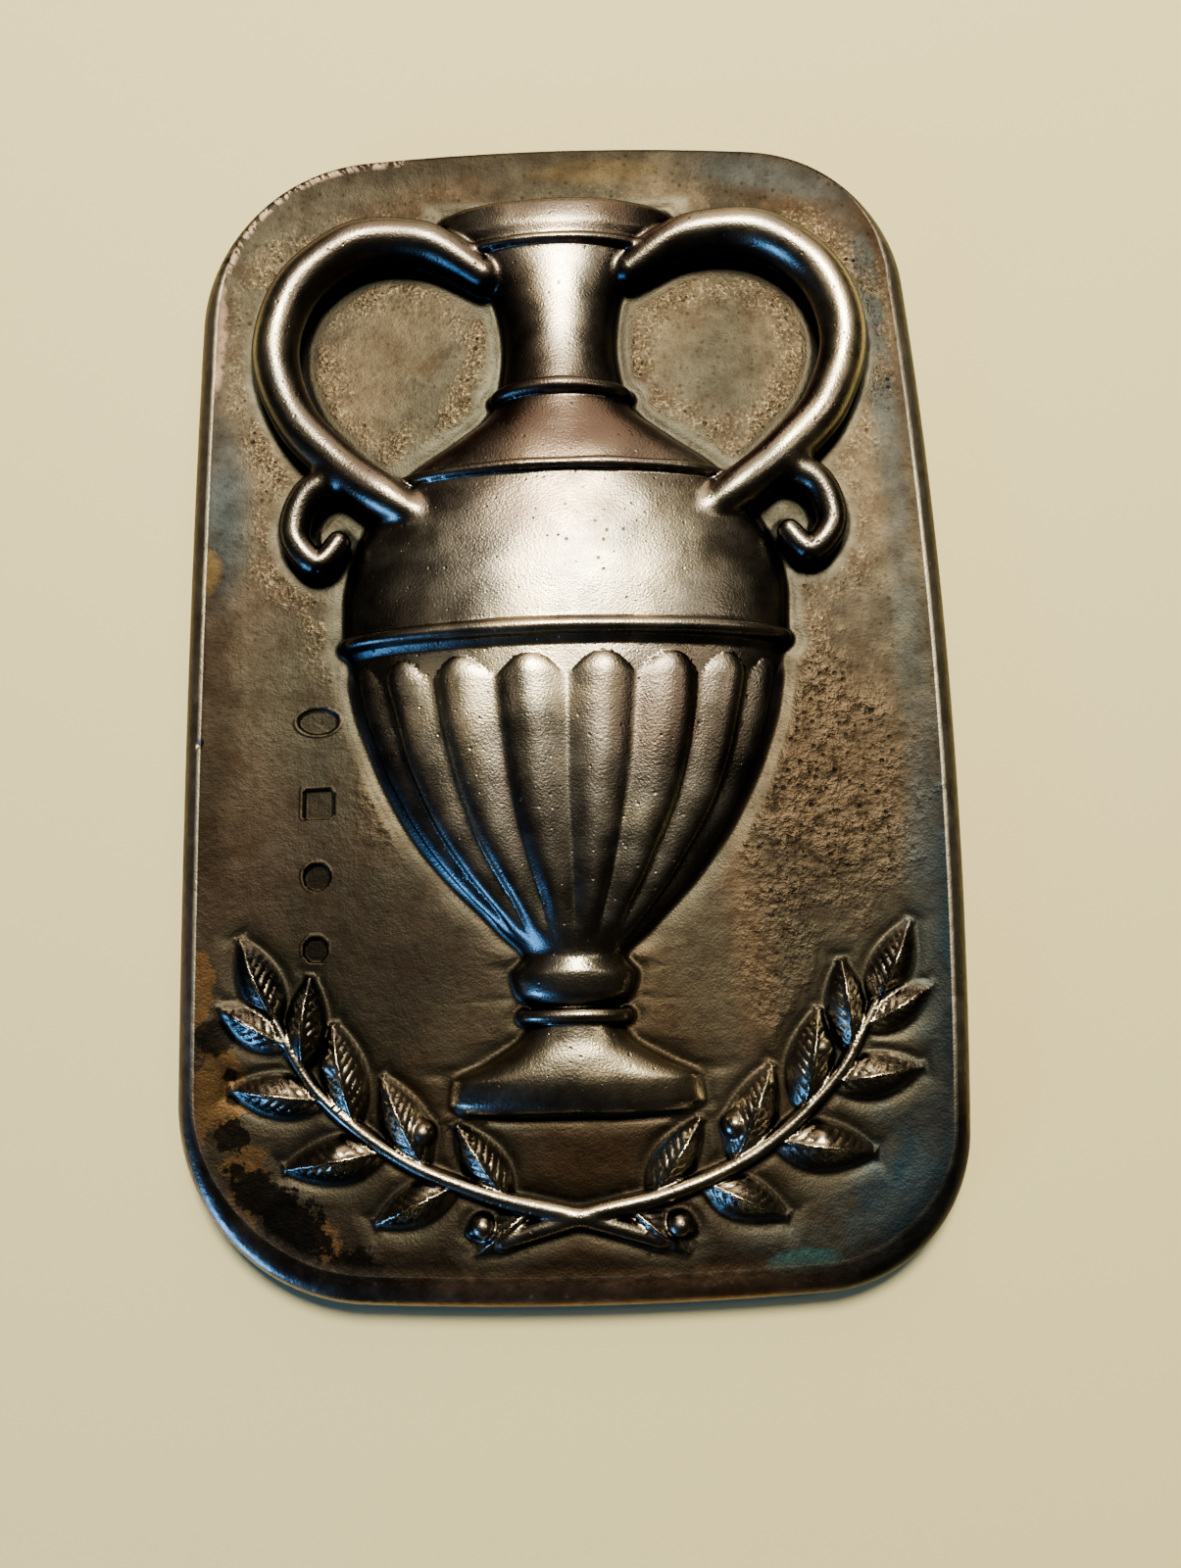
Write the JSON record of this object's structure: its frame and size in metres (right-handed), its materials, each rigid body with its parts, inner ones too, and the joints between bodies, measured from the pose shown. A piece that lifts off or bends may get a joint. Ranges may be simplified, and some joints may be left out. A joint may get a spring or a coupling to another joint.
{
  "type": "cast silver art medal",
  "caption": "Rounded rectangular cast plaquette lying on its flat back, with a raised two-handled vase over crossed laurel sprigs and a column of plain sunk marks.",
  "frame": {"origin": "under the middle of the flat back, on the surface that the medal lies on", "axes": "+Z out of the relief side, +Y to the top of the design, +X to the right as seen from the relief side"},
  "size_m": [0.0554, 0.0858, 0.0076],
  "materials": {
    "tarnished_silver": "satin"
  },
  "bodies": {
    "root": {"medal": "tarnished_silver"}
  },
  "joints": []
}
